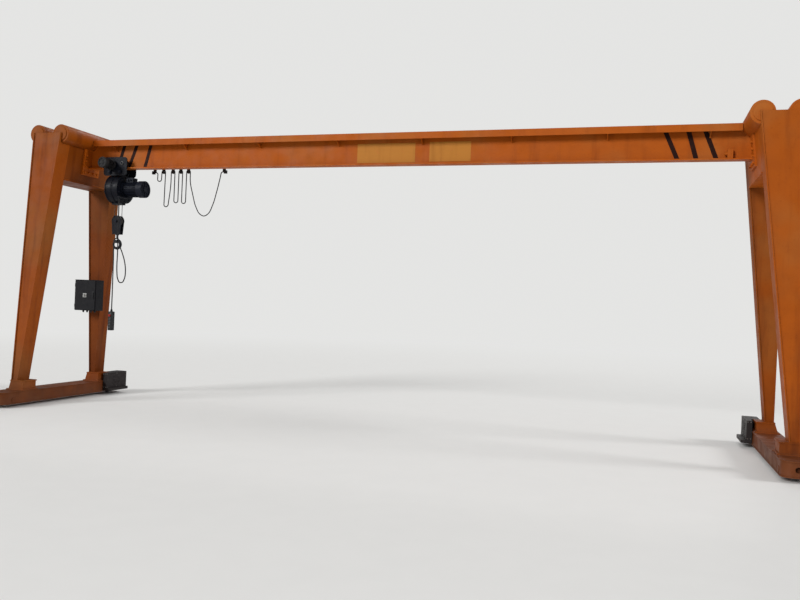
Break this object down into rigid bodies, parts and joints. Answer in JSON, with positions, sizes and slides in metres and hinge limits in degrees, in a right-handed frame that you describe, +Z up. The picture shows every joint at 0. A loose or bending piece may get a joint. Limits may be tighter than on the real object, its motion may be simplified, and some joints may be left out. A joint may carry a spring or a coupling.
{
  "type": "single girder gantry crane",
  "caption": "Floor-travelling single-girder gantry crane with splayed box legs, wire-rope hoist on an underhung trolley, festoon cable and control panel.",
  "frame": {"origin": "on the floor, midway between the four wheels and under the middle of the girder", "axes": "+X along the girder towards the end without the hoist, +Y towards the side with the festoon, +Z up"},
  "size_m": [10.131, 2.58, 3.9699],
  "materials": {
    "orange_paint": "weathered orange gloss paint",
    "dark_paint": "dark blue-grey enamel",
    "grey_paint": "mid grey powder coat",
    "bare_steel": "worn bare steel",
    "black_plastic": "matt black moulding",
    "black_rubber": "matt black cable sheath"
  },
  "bodies": {
    "portal": {"main_girder": "orange_paint", "girder_cap": "orange_paint", "girder_gussets": "orange_paint", "girder_end_plates": "orange_paint", "trolley_end_stops": "dark_paint", "left_head_beam": "orange_paint", "right_head_beam": "orange_paint", "left_head_tubes": "orange_paint", "right_head_tubes": "orange_paint", "left_front_leg": "orange_paint", "left_rear_leg": "orange_paint", "right_front_leg": "orange_paint", "right_rear_leg": "orange_paint", "left_feet": "orange_paint", "right_feet": "orange_paint", "left_sill": "orange_paint", "right_sill": "orange_paint", "left_axles": "bare_steel", "right_axles": "bare_steel", "left_travel_drive": "dark_paint", "right_travel_drive": "dark_paint", "festoon_track": "bare_steel", "festoon_trolleys": "black_plastic", "festoon_cable": "black_rubber", "control_panel": "grey_paint", "panel_bracket": "orange_paint"},
    "left_front_wheel": {"left_front_wheel": "bare_steel"},
    "left_rear_wheel": {"left_rear_wheel": "bare_steel"},
    "right_front_wheel": {"right_front_wheel": "bare_steel"},
    "right_rear_wheel": {"right_rear_wheel": "bare_steel"},
    "hoist": {"trolley_frame": "dark_paint", "trolley_wheels": "bare_steel", "trolley_motor": "grey_paint", "drum_casing": "dark_paint", "hoist_gearbox": "dark_paint", "hoist_motor": "dark_paint", "hoist_ropes": "bare_steel", "pendant_cable": "black_rubber", "pendant_station": "black_plastic"},
    "hook_block": {"hook_block": "dark_paint", "block_sheave": "bare_steel", "block_rope": "bare_steel"},
    "hook": {"hook": "dark_paint"}
  },
  "joints": [
    {"name": "left_front_wheel_spin", "type": "hinge", "parent": "portal", "child": "left_front_wheel", "pos_m": [-4.905, -1.1, 0.1], "axis": [1, 0, 0], "continuous": true},
    {"name": "left_rear_wheel_spin", "type": "hinge", "parent": "portal", "child": "left_rear_wheel", "pos_m": [-4.905, 1.1, 0.1], "axis": [1, 0, 0], "continuous": true},
    {"name": "right_front_wheel_spin", "type": "hinge", "parent": "portal", "child": "right_front_wheel", "pos_m": [4.905, -1.1, 0.1], "axis": [1, 0, 0], "continuous": true},
    {"name": "right_rear_wheel_spin", "type": "hinge", "parent": "portal", "child": "right_rear_wheel", "pos_m": [4.905, 1.1, 0.1], "axis": [1, 0, 0], "continuous": true},
    {"name": "hoist_travel", "type": "slide", "parent": "portal", "child": "hoist", "axis": [1, 0, 0], "range_m": [0, 7.9]},
    {"name": "hook_lift", "type": "slide", "parent": "hoist", "child": "hook_block", "axis": [0, 0, 1], "range_m": [-2.1, 0.14], "deforming": ["hoist_ropes"]},
    {"name": "hook_swivel", "type": "hinge", "parent": "hook_block", "child": "hook", "pos_m": [-4.03, 0, 2.48], "axis": [0, 0, 1], "continuous": true}
  ]
}
